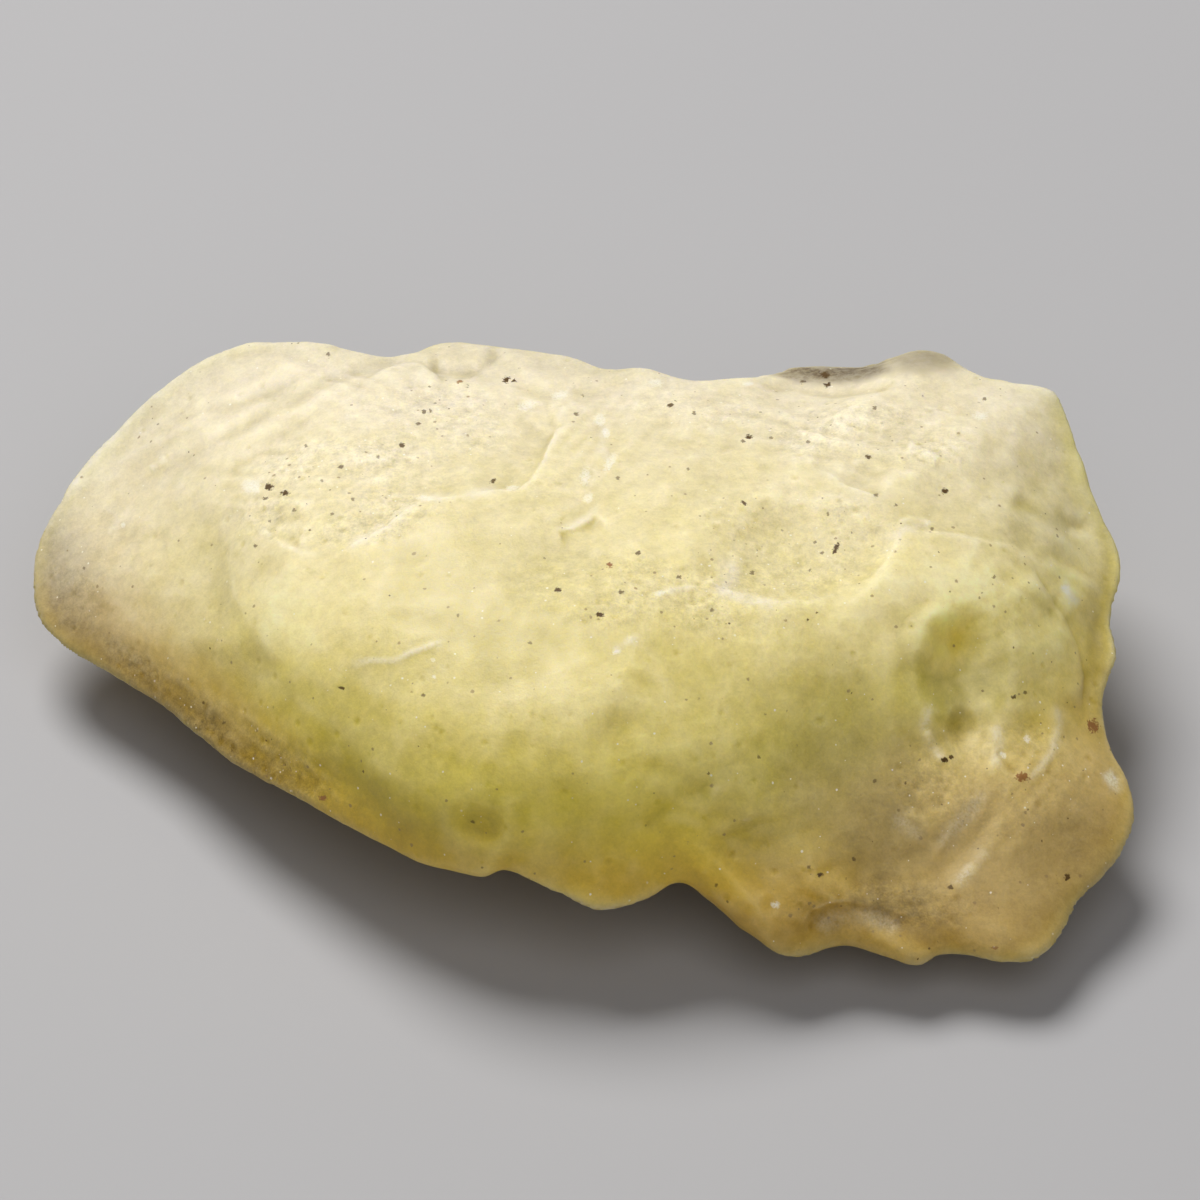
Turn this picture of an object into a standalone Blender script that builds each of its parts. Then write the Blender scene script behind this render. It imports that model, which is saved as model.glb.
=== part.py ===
"""A lump of Libyan desert glass, worn smooth by wind-blown sand, as one closed solid.

The lump is drawn on a slope that faces a viewpoint in front of it and above it. On that slope
u runs along the lump's length, v runs up the slope, and w stands out of it towards the viewpoint.
RIM is the lump's outline as that viewpoint sees it. FRONT and BACK hold the two surfaces that
close it, which meet along the rim. Every point is given by u and v on the slope and by its real
height above the floor. Sizes are in millimetres, and the finished mesh is in metres with +Z up.
"""

from math import cos, pi, radians, sin, tan

import bmesh
import bpy
import numpy as np
from mathutils import Vector, noise

METRES = 0.001

# The slope: how far its viewpoint stands above the horizon and away, and the height of its centre
SIGHT_ELEVATION = radians(42.0)
SIGHT_DISTANCE = 300.0
SIGHT_HEIGHT = 8.0

# The ellipsoid that the mesh grid starts from, its centre on the slope, and its grid cells
HALF_SIZE = (27.0, 14.5, 11.0)
CENTRE = (0.0, -2.0)
CELLS = (42, 24, 20)
CUT_SNAP = 1e-6

# How fast the surfaces turn over at the rim: a higher power makes a tighter edge
EDGE_POWER = 5.5

# The lowest part is ground flat to this depth, which makes the spot that the lump rests on
REST_DEPTH = 0.45

# Outline, clockwise from the left tip: u, v and height above the floor
RIM = (
    (-28.1, 1.6, 5.6), (-27.8, 3.0, 6.1), (-23.6, 8.9, 9.4), (-21.8, 10.4, 10.6),
    (-17.7, 12.8, 12.2), (-15.3, 12.8, 12.8), (-13.3, 12.7, 13.0), (-10.8, 12.3, 13.0),
    (-7.2, 12.9, 12.3), (-4.6, 12.7, 12.2), (0.0, 11.7, 12.9), (2.7, 11.4, 13.3),
    (5.0, 10.95, 13.3), (8.0, 11.0, 12.5), (10.2, 11.8, 11.2), (13.8, 11.8, 11.4),
    (15.2, 12.6, 12.3), (17.0, 12.5, 12.8), (19.6, 11.0, 12.8), (22.8, 10.3, 12.2),
    (23.5, 8.6, 11.5), (24.3, 5.9, 10.6), (25.5, 3.0, 9.2), (25.75, 0.4, 8.4),
    (25.5, -0.5, 8.1), (25.7, -2.8, 7.6), (25.1, -4.5, 7.2), (25.3, -7.2, 6.0),
    (26.4, -10.0, 4.8), (25.8, -12.6, 4.0), (24.1, -14.6, 3.6), (22.1, -17.6, 3.0),
    (20.9, -18.0, 2.9), (17.2, -17.5, 2.9), (15.3, -18.2, 2.8), (13.6, -17.4, 3.1),
    (12.1, -17.15, 3.2), (9.0, -17.7, 3.2), (6.0, -15.4, 4.6), (4.1, -14.05, 6.0),
    (1.9, -15.1, 5.6), (-0.2, -15.4, 5.6), (-1.6, -14.7, 6.0), (-4.8, -13.6, 6.4),
    (-5.8, -13.8, 6.3), (-7.4, -13.4, 6.3), (-13.6, -10.6, 6.0), (-19.0, -7.4, 5.2),
    (-21.8, -5.2, 4.8), (-24.6, -3.5, 4.5), (-27.1, -1.9, 4.5), (-28.0, -0.1, 4.9),
)

# The surface that the viewpoint sees: at each u, pairs of v and height above the floor
FRONT = {
    -25.0: ((5.0, 9.2), (1.5, 8.7), (-1.5, 6.8)),
    -20.0: ((9.0, 12.6), (5.0, 12.1), (1.0, 10.9), (-3.0, 8.8), (-5.6, 6.9)),
    -15.0: ((10.5, 14.2), (6.0, 14.3), (2.0, 13.8), (-2.0, 12.4), (-5.5, 10.4), (-8.6, 7.9)),
    -10.0: ((10.5, 14.7), (6.0, 15.1), (2.0, 15.0), (-2.0, 14.1), (-6.0, 12.4), (-9.5, 10.1), (-11.6, 8.2)),
    -5.0: ((10.0, 14.8), (5.0, 15.4), (0.0, 15.2), (-4.0, 14.1), (-8.0, 12.1), (-11.5, 9.4)),
    0.0: ((9.5, 14.8), (5.0, 15.4), (0.5, 15.5), (-4.0, 14.4), (-8.0, 12.3), (-11.0, 9.7), (-13.7, 7.4)),
    5.0: ((9.0, 15.0), (4.5, 15.5), (0.5, 15.2), (-3.0, 14.1), (-6.5, 12.5), (-9.5, 10.5), (-12.0, 8.6)),
    10.0: ((9.6, 14.7), (6.0, 15.3), (2.5, 15.0), (0.0, 14.7), (-2.5, 13.8), (-5.0, 12.5), (-8.0, 10.7),
           (-11.0, 8.8), (-14.0, 6.7), (-16.2, 5.2)),
    15.0: ((9.5, 14.8), (6.0, 15.2), (3.0, 15.0), (0.8, 14.6), (-1.5, 13.6), (-4.0, 12.2), (-7.0, 10.3),
           (-10.0, 8.3), (-13.0, 6.3), (-16.0, 4.6)),
    18.0: ((9.0, 14.8), (5.0, 14.8), (2.5, 14.5), (0.2, 13.9), (-2.0, 12.9), (-5.0, 11.1),
           (-8.0, 9.2), (-12.0, 6.6), (-15.0, 5.0)),
    22.0: ((8.0, 13.9), (4.0, 13.4), (1.0, 12.7), (-2.0, 11.6), (-5.0, 10.0), (-8.0, 8.5), (-11.0, 7.0),
           (-14.0, 5.5), (-16.3, 4.4)),
    24.5: ((2.0, 10.4), (-2.0, 9.3), (-6.0, 8.2), (-9.0, 7.0), (-12.0, 5.8)),
}

# The surface that lies away from it, which is the lump's rear and its underside
BACK = {
    -25.0: ((5.0, 6.0), (2.0, 4.0), (-1.0, 3.4)),
    -20.0: ((9.0, 7.6), (5.0, 4.1), (1.0, 2.1), (-3.0, 2.1), (-5.5, 3.2)),
    -12.0: ((9.5, 7.2), (5.5, 3.6), (2.0, 1.8), (-2.0, 1.0), (-6.0, 1.1), (-9.5, 2.2)),
    -4.0: ((9.5, 6.8), (5.5, 3.4), (2.0, 1.3), (-2.0, 0.2), (-6.0, -0.2), (-9.5, 0.7), (-12.0, 2.6)),
    4.0: ((9.0, 7.4), (5.5, 4.4), (2.0, 1.8), (-2.0, 0.1), (-6.0, -0.4), (-10.0, 0.1), (-13.0, 2.0)),
    12.0: ((9.0, 6.6), (5.0, 3.2), (1.5, 1.4), (-2.5, 0.3), (-7.0, -0.1), (-11.0, 0.1), (-15.0, 1.1)),
    20.0: ((8.0, 7.2), (4.0, 3.6), (0.0, 2.0), (-4.0, 1.1), (-8.5, 0.6), (-12.5, 0.7), (-16.0, 1.4)),
    24.5: ((3.0, 5.9), (-1.0, 4.2), (-6.0, 3.1), (-11.0, 3.0)),
}

# Hollows in the seen surface: middle, half width, reach above and below, turn in degrees, depth
HOLLOWS = (
    ((18.0, -2.6), 2.1, 2.3, 5.0, 4.0, 1.1),
    ((18.3, -7.0), 2.0, 1.6, 1.5, 0.0, 0.5),
    ((18.6, -4.8), 4.6, 4.6, 4.8, 0.0, 0.35),
    ((10.0, 2.9), 4.8, 2.4, 2.6, -8.0, 0.7),
    ((6.3, 5.8), 3.6, 2.2, 1.8, 20.0, 0.35),
    ((-1.8, 2.0), 4.0, 2.6, 2.2, 25.0, 0.4),
    ((-6.0, -11.2), 1.8, 1.2, 1.2, -20.0, 0.4),
    ((-24.2, 1.5), 3.0, 3.4, 3.2, 20.0, 0.35),
    ((-15.6, 8.6), 3.4, 1.5, 1.5, 30.0, 0.35),
    ((22.6, 6.2), 2.0, 2.8, 3.0, 10.0, 0.5),
    ((15.0, 8.2), 2.4, 1.6, 1.6, 0.0, 0.35),
    ((1.5, -6.8), 2.8, 2.0, 2.4, 0.0, 0.25),
    ((22.5, -12.5), 2.6, 2.4, 2.4, 30.0, 0.35),
)

# Grooves in it: path, half width, depth
GROOVES = (
    (((14.5, -4.0), (11.5, -7.5), (8.5, -11.0), (4.5, -14.0)), 2.8, 0.6),
    (((-18.5, 8.0), (-16.5, 10.0), (-13.5, 10.8), (-10.5, 11.7)), 0.7, 0.4),
    (((-8.0, 11.6), (-5.5, 12.2), (-4.6, 10.8)), 0.7, 0.4),
    (((7.5, 10.7), (10.5, 10.7), (14.5, 11.0)), 0.6, 0.6),
    (((16.0, -13.4), (20.5, -10.2)), 0.8, 0.3),
)

# Ledges in it: path with the lower ground on its left, reach, drop
LEDGES = (
    (((-13.4, 2.2), (-10.7, 3.7), (-8.9, 5.0), (-4.1, 5.6), (-2.6, 7.6), (-1.0, 9.0)), 3.4, 0.6),
    (((4.6, 1.2), (6.6, 0.3), (11.0, -0.2), (13.5, 0.6), (14.7, 3.0), (18.5, 3.8)), 2.6, 0.5),
    (((-15.4, -4.2), (-17.4, -1.8), (-18.6, 0.4), (-18.8, 2.3), (-17.6, 4.6)), 4.0, 0.25),
    (((24.4, -5.6), (24.0, -2.5), (22.0, 0.5), (19.0, 3.6)), 2.2, -0.4),
    (((15.6, -15.9), (13.5, -15.2), (11.3, -15.2), (9.0, -17.0)), 1.6, 0.5),
)
LEDGE_FOOT = 0.5

# Hollows in the surface that lies away from the viewpoint, as in HOLLOWS
BACK_HOLLOWS = (
    ((-17.5, 6.0), 5.6, 3.4, 2.6, 28.0, 1.2),
    ((-7.0, 8.2), 6.4, 2.2, 3.4, -8.0, 1.3),
    ((3.4, 5.4), 3.4, 2.6, 2.4, 35.0, 0.9),
    ((11.6, 8.6), 4.2, 2.6, 3.8, -14.0, 1.4),
    ((21.5, 3.6), 3.2, 4.6, 4.0, 18.0, 1.1),
    ((-21.5, -0.5), 3.6, 2.4, 2.4, -20.0, 0.7),
    ((14.4, 0.9), 3.6, 2.0, 2.0, 10.0, 0.8),
    ((-10.5, 0.6), 4.4, 1.8, 2.0, 0.0, 0.6),
    ((19.0, -12.6), 3.6, 2.8, 2.4, 15.0, 0.6),
    ((-11.6, -8.4), 3.8, 1.6, 1.8, -25.0, 0.6),
)

# Small lumps all over it: how far apart they stand, and how high
LUMPS = ((4.2, 0.22), (2.1, 0.10))


def cut_cube(cells):
    """A cube's surface cut into cells by planes at equal angles seen from its centre."""
    cube = bmesh.new()
    bmesh.ops.create_cube(cube, size=2)
    for axis, count in enumerate(cells):
        normal = Vector([axis == other for other in range(3)])
        for step in range(1, count):
            everything = cube.verts[:] + cube.edges[:] + cube.faces[:]
            place = normal * tan((2 * step / count - 1) * pi / 4)
            bmesh.ops.bisect_plane(cube, geom=everything, dist=CUT_SNAP, plane_co=place, plane_no=normal)
    return cube


def depth_at(v, height):
    """How far out of the slope a point is that the viewpoint sees at v, from its height above the floor."""
    rise = height - SIGHT_HEIGHT - v * cos(SIGHT_ELEVATION)
    return rise / (sin(SIGHT_ELEVATION) - v * cos(SIGHT_ELEVATION) / SIGHT_DISTANCE)


def closed_curve(angles, values, at):
    """Values of a smooth closed curve, given at rising angles over one turn, read at other angles."""
    turn = 2 * np.pi
    angles = np.r_[angles[-2:] - turn, angles, angles[:3] + turn]
    values = np.r_[values[-2:], values, values[:3]]
    at = (at - angles[2]) % turn + angles[2]
    k = np.clip(np.searchsorted(angles, at, "right") - 1, 1, len(angles) - 3)
    slope = (values[2:] - values[:-2]) / (angles[2:] - angles[:-2])
    span = angles[k + 1] - angles[k]
    t = (at - angles[k]) / span
    rise = values[k + 1] - values[k]
    lead, trail = slope[k - 1] * span - rise, rise - slope[k] * span
    return values[k] + t * rise + t * (1 - t) * ((1 - t) * lead + t * trail)


def rim_reader():
    """The rim as a function: the angles about CENTRE in, its radius and its depth out."""
    u, v, height = np.array(RIM).T
    angles = np.arctan2(v - CENTRE[1], u - CENTRE[0])
    radii = np.hypot(u - CENTRE[0], v - CENTRE[1])
    depths = depth_at(v, height)
    order = np.argsort(angles)
    angles, radii, depths = angles[order], radii[order], depths[order]
    return lambda at: (closed_curve(angles, radii, at), closed_curve(angles, depths, at))


def thin_plate(profiles):
    """The smoothest surface through a table of profiles, as a function of points on the slope."""
    table = np.array([(u, v, depth_at(v, height)) for u, pairs in profiles.items() for v, height in pairs])
    known, depths = table[:, :2], table[:, 2]
    count = len(known)

    def kernel(points):
        squares = ((points[:, None] - known[None]) ** 2).sum(axis=2)
        return squares * np.log(squares + 1e-9)

    def plane(points):
        return np.c_[np.ones(len(points)), points]

    system = np.block([[kernel(known), plane(known)], [plane(known).T, np.zeros((3, 3))]])
    weights = np.linalg.solve(system, np.r_[depths, np.zeros(3)])
    return lambda points: kernel(points) @ weights[:count] + plane(points) @ weights[count:]


def along(path, points):
    """Where points lie by a path: distance, which side (positive on its left) and share of its length."""
    path = np.array(path)
    runs = path[1:] - path[:-1]
    lengths = np.hypot(*runs.T)
    starts = np.r_[0, lengths.cumsum()[:-1]] / lengths.sum()
    offsets = points[:, None] - path[None, :-1]
    t = np.clip((offsets * runs).sum(axis=2) / lengths**2, 0, 1)
    gaps = offsets - t[..., None] * runs
    distances = np.hypot(gaps[..., 0], gaps[..., 1])
    nearest = distances.argmin(axis=1)
    rows = np.arange(len(points))
    cross = (runs[..., 0] * offsets[..., 1] - runs[..., 1] * offsets[..., 0])[rows, nearest]
    share = starts[nearest] + t[rows, nearest] * lengths[nearest] / lengths.sum()
    return distances[rows, nearest], np.sign(cross), share


def fade(share):
    """Lets a line die out over the first and the last fifth of its length."""
    return np.clip(np.minimum(share, 1 - share) * 5, 0, 1)


def hollow(points, middle, wide, above, below, turn, depth):
    """An oval dent with its own reach above and below its middle."""
    x, y = (points - middle).T
    x, y = x * cos(radians(turn)) + y * sin(radians(turn)), y * cos(radians(turn)) - x * sin(radians(turn))
    radius = np.hypot(x / wide, y / np.where(y > 0, above, below))
    return -depth * np.clip(1 - radius**2, 0, 1) ** 1.5


def groove(points, path, half_width, depth):
    distance, _, share = along(path, points)
    return -depth * fade(share) * np.exp(-((distance / half_width) ** 2))


def ledge(points, path, reach, drop):
    """A step down on the left of a path, from which the surface climbs back over a reach."""
    distance, side, share = along(path, points)
    foot = (side > 0) * (1 - np.exp(-distance / LEDGE_FOOT))
    return -drop * fade(share) * foot * np.exp(-((distance / reach) ** 2))


def worn_form(directions):
    """Moves each direction out to the lump's surface. The points come back as u, v and w."""
    across, up, out = directions.T
    share = np.hypot(across, up)
    angle = np.arctan2(up * HALF_SIZE[1], across * HALF_SIZE[0])
    radius, rim_depth = rim_reader()(angle)
    points = np.c_[CENTRE[0] + share * radius * np.cos(angle), CENTRE[1] + share * radius * np.sin(angle)]
    front = thin_plate(FRONT)(points)
    for form, table in ((hollow, HOLLOWS), (groove, GROOVES), (ledge, LEDGES)):
        for values in table:
            front += form(points, *values)
    back = thin_plate(BACK)(points)
    for values in BACK_HOLLOWS:
        back -= hollow(points, *values)
    surface = np.where(out > 0, front, back)
    fullness = np.sqrt(np.clip(1 - share**EDGE_POWER, 0, 1))
    places = np.c_[points, rim_depth + (surface - rim_depth) * fullness]
    for spacing, height in LUMPS:
        swell = [noise.noise(Vector(place) / spacing) for place in places]
        places += directions * (height * np.array(swell))[:, None]
    return places


def to_world(points):
    """Turns points on the slope, as the viewpoint sees them, into places with +Z up."""
    near = 1 - points[:, 2] / SIGHT_DISTANCE
    u, v, w = points[:, 0] * near, points[:, 1] * near, points[:, 2]
    back = v * sin(SIGHT_ELEVATION) - w * cos(SIGHT_ELEVATION)
    height = SIGHT_HEIGHT + v * cos(SIGHT_ELEVATION) + w * sin(SIGHT_ELEVATION)
    return np.c_[u, back, height]


def set_down(places):
    """Grinds the lowest part flat and stands it on the floor, with the origin under the middle."""
    floor = places[:, 2].min() + REST_DEPTH
    places[:, 2] = np.maximum(places[:, 2], floor)
    low, high = places.min(axis=0), places.max(axis=0)
    return places - [(low[0] + high[0]) / 2, (low[1] + high[1]) / 2, floor]


def glass_material():
    material = bpy.data.materials.new("desert_glass")
    material.use_nodes = True
    shader = material.node_tree.nodes["Principled BSDF"]
    shader.inputs["Base Color"].default_value = (0.70, 0.63, 0.27, 1.0)
    shader.inputs["Roughness"].default_value = 0.42
    shader.inputs["Metallic"].default_value = 0.0
    shader.inputs["Subsurface Weight"].default_value = 0.6
    return material


def build():
    for old in list(bpy.data.objects):
        bpy.data.objects.remove(old)
    cube = cut_cube(CELLS)
    directions = np.array([vert.co.normalized() for vert in cube.verts])
    places = set_down(to_world(worn_form(directions))) * METRES
    for vert, place in zip(cube.verts, places):
        vert.co = place
    mesh = bpy.data.meshes.new("desert_glass")
    cube.to_mesh(mesh)
    cube.free()
    mesh.materials.append(glass_material())
    mesh.shade_smooth()
    lump = bpy.data.objects.new("desert_glass", mesh)
    bpy.context.scene.collection.objects.link(lump)


build()
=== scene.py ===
"""Looks for a lump of Libyan desert glass: worn surface, frosted translucent glass, light and camera."""

from math import cos, pi, radians, sin

import bmesh
import bpy
import numpy as np
from mathutils import Euler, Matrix, Vector, kdtree, noise


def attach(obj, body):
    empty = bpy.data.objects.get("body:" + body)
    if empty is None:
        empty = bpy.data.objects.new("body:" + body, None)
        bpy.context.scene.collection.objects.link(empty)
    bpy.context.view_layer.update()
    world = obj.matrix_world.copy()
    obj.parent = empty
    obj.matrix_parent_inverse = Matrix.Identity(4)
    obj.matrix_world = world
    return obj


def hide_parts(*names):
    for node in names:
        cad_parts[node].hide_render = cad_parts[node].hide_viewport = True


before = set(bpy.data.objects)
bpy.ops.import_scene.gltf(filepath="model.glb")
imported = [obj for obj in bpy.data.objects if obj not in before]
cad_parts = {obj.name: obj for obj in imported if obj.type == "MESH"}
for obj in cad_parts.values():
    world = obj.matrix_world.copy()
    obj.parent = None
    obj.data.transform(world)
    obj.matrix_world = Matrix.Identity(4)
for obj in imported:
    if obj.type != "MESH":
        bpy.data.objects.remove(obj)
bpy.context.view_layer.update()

MM = 0.001

# The photograph's viewpoint, which the camera takes and the relief is placed from
PHOTO_SIDE = 1200
PHOTO_WIDTH = 60 * MM
SIGHT_CENTRE = (1.36 * MM, 2.04 * MM, 8.03 * MM)
SIGHT_DISTANCE = 300 * MM
SIGHT_ELEVATION = radians(42.0)
PIXEL = PHOTO_WIDTH / PHOTO_SIDE

# Cosine of the angle to the line of sight from which the surface counts as well inside the seen side, and
# how far a place has to face the viewpoint, from 0 to 1, for a listed mark to be put there
WELL_INSIDE = 0.3
SEEN = 0.1

# Fineness of the worn surface
SAME_POINT = 0.001 * MM
SUBDIVISIONS = 2
VOXEL = 0.14 * MM
SMOOTHING_TURNS = 8
MOST_TRIANGLES = 196000

# Smoothing draws rounded edges in, and this share of their bulge puts them back
SWELL = 1.5
SWELL_TURNS = 60

# Waves all over the surface: spacing and height in mm, and the height that the side or the roughness changes
BROAD_WAVES = (1.8, 0.12, -0.07)
FINE_WAVES = (0.6, 0.01, 0.04)

# Round hollows: how many, smallest and largest radius in mm, depth as a share of the radius
HIDDEN_SCALLOPS = (160, 1.5, 3.5, 0.08)
SCALLOPS = (1100, 0.5, 1.3, 0.03)
SAND_PITS = (1800, 0.12, 0.26, 0.20)

# How high above the flat spot the relief begins and is full
FOOT_RANGE = (0.02 * MM, 0.6 * MM)

RANDOM = np.random.default_rng(7)

# Ledges: path in photograph pixels with the lower ground on its left, foot and reach in pixels, drop in mm
LEDGES = (
    (((312, 566), (338, 555), (357, 542), (386, 526), (408, 508), (421, 501), (446, 498), (472, 494)),
     4, 34, 0.18),
    (((470, 494), (500, 490), (517, 490), (531, 480), (542, 463), (549, 445), (556, 430), (571, 424)),
     3, 30, 0.20),
    (((690, 586), (712, 580), (722, 590), (745, 594), (780, 602), (815, 600), (845, 590)), 5, 40, 0.15),
    (((845, 590), (872, 578), (888, 560), (897, 540), (903, 528)), 4, 36, 0.10),
    (((903, 531), (930, 531), (955, 534), (985, 541), (1015, 546), (1034, 560)), 3, 26, 0.10),
    (((262, 528), (285, 545), (300, 550)), 3, 18, 0.12),
    (((300, 675), (276, 655), (252, 628), (236, 598), (229, 565), (231, 540), (243, 520)), 9, 60, 0.10),
    (((808, 466), (830, 474), (846, 486), (866, 492), (884, 499)), 3, 22, 0.18),
    (((1082, 712), (1084, 676), (1079, 648), (1068, 622), (1052, 600), (1040, 580), (1030, 560)),
     5, 30, -0.24),
    (((918, 917), (900, 914), (884, 908), (864, 904), (846, 900), (828, 903), (812, 911), (798, 927)),
     3, 24, 0.16),
    (((448, 388), (436, 373), (420, 363), (404, 362), (384, 368), (366, 378), (352, 396)), 3, 20, -0.15),
    (((936, 862), (950, 840), (966, 817), (986, 795)), 4, 30, -0.05),
    (((512, 836), (508, 824), (498, 811), (484, 803), (466, 800)), 3, 26, 0.06),
    (((598, 512), (588, 521), (573, 528), (556, 530)), 2, 14, 0.16),
)

# Grooves (positive depth) and ridges (negative depth): path in pixels, half width in pixels, depth in mm
GROOVES = (
    (((205, 440), (245, 424), (270, 404), (310, 386), (345, 376), (380, 364), (408, 357)), 8, 0.13),
    (((425, 362), (446, 368), (462, 371), (477, 368), (490, 358), (502, 345)), 7, 0.24),
    (((508, 384), (550, 392), (598, 391), (636, 380), (652, 372)), 9, 0.14),
    (((170, 425), (205, 412), (240, 400), (262, 386)), 7, 0.08),
    (((222, 478), (238, 462), (256, 453), (306, 450)), 6, 0.09),
    (((756, 384), (800, 389), (832, 392), (862, 388), (900, 382)), 5, 0.22),
    (((1008, 500), (1040, 509), (1072, 524), (1096, 528)), 9, 0.14),
    (((925, 728), (934, 748), (946, 764)), 5, -0.08),
    (((990, 722), (996, 752), (990, 780)), 6, -0.06),
    (((1050, 700), (1058, 724), (1053, 750), (1040, 770), (1026, 782)), 5, -0.06),
    (((998, 748), (1008, 764), (1018, 776)), 5, 0.10),
    (((952, 890), (965, 875), (979, 862), (988, 851)), 5, -0.04),
    (((905, 812), (922, 820), (938, 838)), 7, -0.10),
    (((352, 668), (372, 660), (394, 661), (412, 652), (444, 640)), 3, -0.035),
    (((662, 594), (680, 589), (700, 587)), 3, -0.05),
    (((612, 652), (622, 645), (636, 636)), 3, -0.04),
    (((897, 522), (910, 519), (924, 520), (934, 525)), 3, -0.06),
    (((150, 470), (168, 458)), 3, -0.06),
    (((905, 446), (922, 452), (940, 463)), 6, -0.10),
    (((640, 830), (668, 806), (700, 790), (716, 796)), 12, 0.12),
    (((850, 868), (880, 874), (922, 890)), 9, 0.04),
)

# Dents: middle in pixels, half width, half height, turn in degrees, depth in mm, edge softness
DENTS = (
    ((938, 640), 40, 40, 0, -0.26, 1.4),
    ((986, 668), 26, 34, -10, 0.12, 1.4),
    ((962, 728), 18, 26, 0, 0.22, 1.4),
    ((1024, 740), 30, 38, 20, 0.20, 1.4),
    ((486, 828), 26, 17, 40, 0.06, 1.2),
    ((768, 904), 10, 12, 0, 0.06, 1.4),
    ((276, 512), 30, 14, 0, 0.16, 1.4),
    ((400, 388), 42, 22, -20, -0.12, 1.4),
    ((578, 514), 26, 10, -28, 0.08, 1.0),
    ((586, 478), 8, 12, 20, 0.08, 1.0),
    ((608, 462), 5, 12, 35, 0.05, 1.0),
    ((600, 428), 8, 16, 10, 0.05, 1.2),
    ((830, 430), 13, 11, 0, 0.12, 1.4),
    ((642, 684), 24, 16, 20, 0.10, 1.4),
    ((418, 620), 34, 14, 10, 0.08, 1.4),
    ((660, 384), 14, 8, 10, 0.10, 1.2),
    ((528, 404), 16, 6, 10, 0.10, 1.2),
    ((880, 468), 44, 14, -10, 0.14, 1.4),
    ((1066, 605), 12, 26, 30, -0.10, 1.4),
)

# Flow streaks: patch (middle, half width, half height, turn, strength), direction in degrees clockwise,
# length and width of a streak in pixels, height in mm
STREAKS = (
    (((240, 425), 130, 60, -30, 1.0), -30, 110, 15, 0.17),
    (((335, 490), 125, 50, 0, 1.0), -3, 80, 9, 0.10),
    (((820, 440), 130, 45, 5, 1.0), 12, 60, 9, 0.08),
    (((600, 430), 90, 60, 0, 1.0), -50, 50, 10, 0.06),
    (((985, 800), 110, 90, 0, 1.0), -52, 60, 12, 0.04),
    (((1050, 560), 60, 90, 0, 1.0), 35, 60, 12, 0.12),
    (((260, 745), 210, 30, 34, 1.0), 34, 40, 10, 0.07),
)

# How much stronger than listed the ledges and grooves are, and how far out they are worked out: ledges in
# reaches, grooves and lines in half widths
LINE_STRENGTH = 1.2
LEDGE_MARGIN = 2.5
LINE_MARGIN = 3

# A path's strength along its length: middle, how much it varies, over what share of the length, its limits,
# and the share of the length over which each end fades
PATH_STRENGTH = 0.85
PATH_VARIATION = 0.9
PATH_UNEVENNESS = 0.35
PATH_LIMITS = (0.3, 1.2)
PATH_END = 0.16

# How many half widths from its middle a soft patch ends
PATCH_END = 1.15

# Stretches where sand has roughened and pitted the glass: middle, half width, half height, turn, strength
ROUGH_PATCHES = (
    ((350, 512), 120, 40, -4, 0.9),
    ((430, 425), 110, 50, 0, 0.6),
    ((610, 590), 110, 46, 0, 0.7),
    ((800, 540), 120, 60, 0, 0.9),
    ((860, 435), 130, 40, 4, 0.8),
    ((700, 410), 90, 30, 0, 0.5),
    ((990, 780), 110, 70, 0, 0.8),
    ((880, 905), 130, 32, -3, 0.7),
    ((230, 735), 190, 34, 34, 0.7),
    ((75, 600), 40, 40, 0, 0.7),
    ((360, 470), 120, 40, 0, 0.9),
    ((730, 600), 110, 50, 0, 0.8),
)

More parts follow.
